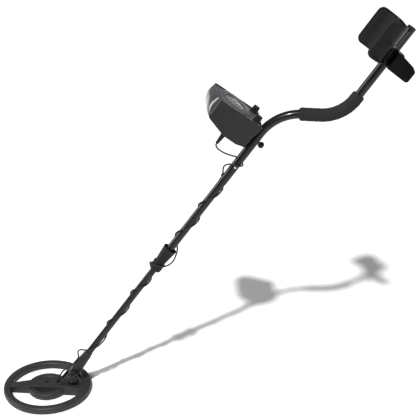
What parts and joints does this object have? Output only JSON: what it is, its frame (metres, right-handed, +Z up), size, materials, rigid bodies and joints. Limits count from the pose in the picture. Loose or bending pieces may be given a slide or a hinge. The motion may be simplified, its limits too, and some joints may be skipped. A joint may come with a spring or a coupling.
{
  "type": "metal detector",
  "caption": "Metal detector: round search coil on a tilting clevis, telescopic S-shaped stem wound with its cable, control box with meter, foam grip, arm cuff and stand.",
  "frame": {"origin": "centre of the search coil's flat sole", "axes": "+X from the coil's front towards the arm cuff, +Y across the detector (left hand of the user), +Z up from the floor"},
  "size_m": [0.9337, 0.21, 0.916],
  "materials": {
    "coil_plastic": "moulded ABS, fine spark grain, semi-gloss on the ring",
    "sole_plastic": "smooth wear plate",
    "copper_wire": "enamelled copper winding",
    "clevis_plastic": "glass-filled nylon, slight sheen",
    "rubber": "matt black rubber",
    "cable": "PVC jacket, satin black",
    "tube": "gloss black powder coat on aluminium",
    "lock_plastic": "satin black moulded plastic",
    "steel": "bright plated steel",
    "foam": "closed-cell foam, matt, fine pores",
    "box_plastic": "charcoal ABS, fine grain",
    "panel": "dark grey satin paint",
    "window": "clear acrylic",
    "dial": "pale printed dial",
    "board": "green circuit board",
    "battery": "plastic sleeve",
    "knob_plastic": "black knob plastic",
    "cuff_plastic": "glossy black moulded plastic"
  },
  "bodies": {
    "upper_stem": {"s_rod": "tube", "middle_tube": "tube", "lock_sleeve": "lock_plastic", "lock_collet": "lock_plastic", "snap_spring": "steel", "foam_grip": "foam", "rod_end_cap": "rubber", "box_shell": "box_plastic", "face_panel": "panel", "meter_bezel": "panel", "meter_window": "window", "meter_dial": "dial", "meter_movement": "knob_plastic", "circuit_board": "board", "speaker": "knob_plastic", "battery_far": "battery", "battery_near": "battery", "sensitivity_pot": "steel", "mode_pot": "steel", "toggle_switch": "steel", "coil_socket": "knob_plastic", "coil_plug": "knob_plastic", "box_saddle": "lock_plastic", "arm_cuff": "cuff_plastic", "cuff_pad": "foam", "cuff_saddle": "cuff_plastic", "cuff_bolt_front": "steel", "cuff_bolt_rear": "steel", "cuff_nut_front": "steel", "cuff_nut_rear": "steel", "stand": "cuff_plastic", "cable_wound": "cable"},
    "lower_stem": {"lower_tube": "tube", "stem_tip": "clevis_plastic", "cable_foot": "cable"},
    "search_coil": {"coil_shell": "coil_plastic", "coil_sole": "sole_plastic", "transmit_winding": "copper_wire", "receive_winding": "copper_wire", "coil_bracket": "coil_plastic", "clevis_bolt": "clevis_plastic", "washer_near": "rubber", "washer_far": "rubber", "cable_gland": "rubber"},
    "tilt_knob": {"clevis_knob": "clevis_plastic"},
    "lock_nut": {"lock_nut": "lock_plastic"},
    "snap_button": {"snap_button": "steel"},
    "battery_cover": {"battery_cover": "box_plastic"},
    "needle": {"meter_needle": "knob_plastic"},
    "sensitivity_knob": {"sensitivity_knob": "knob_plastic"},
    "mode_knob": {"mode_knob": "knob_plastic"},
    "toggle": {"toggle_lever": "steel"},
    "plug_ring": {"plug_ring": "knob_plastic"},
    "clamp_knob": {"clamp_knob": "knob_plastic", "clamp_screw": "steel"}
  },
  "joints": [
    {"name": "stem_slide", "type": "slide", "parent": "upper_stem", "child": "lower_stem", "axis": [0.5878, 0, 0.809], "range_m": [-0.08, 0.12], "deforming": ["cable_wound", "cable_foot"]},
    {"name": "coil_tilt", "type": "hinge", "parent": "lower_stem", "child": "search_coil", "pos_m": [0.062, 0, 0.0447], "axis": [0, 1, 0], "range_deg": [-38, 95], "deforming": ["cable_foot"]},
    {"name": "tilt_knob_turn", "type": "hinge", "parent": "search_coil", "child": "tilt_knob", "pos_m": [0.062, -0.02, 0.0447], "axis": [0, -1, 0], "range_deg": [0, 540]},
    {"name": "lock_turn", "type": "hinge", "parent": "upper_stem", "child": "lock_nut", "pos_m": [0.27213, 0, 0.33392], "axis": [0.5878, 0, 0.809], "range_deg": [0, 180]},
    {"name": "button_press", "type": "slide", "parent": "upper_stem", "child": "snap_button", "axis": [0, 1, 0], "range_m": [0, 0.0022], "stiffness_N_per_m": 900, "springref_m": -0.001, "deforming": ["snap_spring"]},
    {"name": "battery_cover_slide", "type": "slide", "parent": "upper_stem", "child": "battery_cover", "axis": [-0.809, 0, 0.5878], "range_m": [0, 0.05]},
    {"name": "needle_swing", "type": "hinge", "parent": "upper_stem", "child": "needle", "pos_m": [0.45782, 0, 0.71285], "axis": [0.5878, 0, 0.809], "range_deg": [0, 76], "stiffness_Nm_per_rad": 0.00004, "springref_deg": -11.46},
    {"name": "sensitivity_turn", "type": "hinge", "parent": "upper_stem", "child": "sensitivity_knob", "pos_m": [0.49038, 0.031, 0.69216], "axis": [0.5878, 0, 0.809], "range_deg": [-150, 150]},
    {"name": "mode_turn", "type": "hinge", "parent": "upper_stem", "child": "mode_knob", "pos_m": [0.49038, -0.031, 0.69216], "axis": [0.5878, 0, 0.809], "range_deg": [-150, 150]},
    {"name": "toggle_flip", "type": "hinge", "parent": "upper_stem", "child": "toggle", "pos_m": [0.49497, 0, 0.69031], "axis": [0, 1, 0], "range_deg": [0, 18]},
    {"name": "plug_ring_turn", "type": "hinge", "parent": "upper_stem", "child": "plug_ring", "pos_m": [0.42586, 0, 0.65609], "axis": [0.5878, 0, 0.809], "range_deg": [0, 360]},
    {"name": "clamp_turn", "type": "hinge", "parent": "upper_stem", "child": "clamp_knob", "pos_m": [0.49196, 0, 0.6365], "axis": [0.809, 0, -0.5878], "range_deg": [0, 360]}
  ]
}
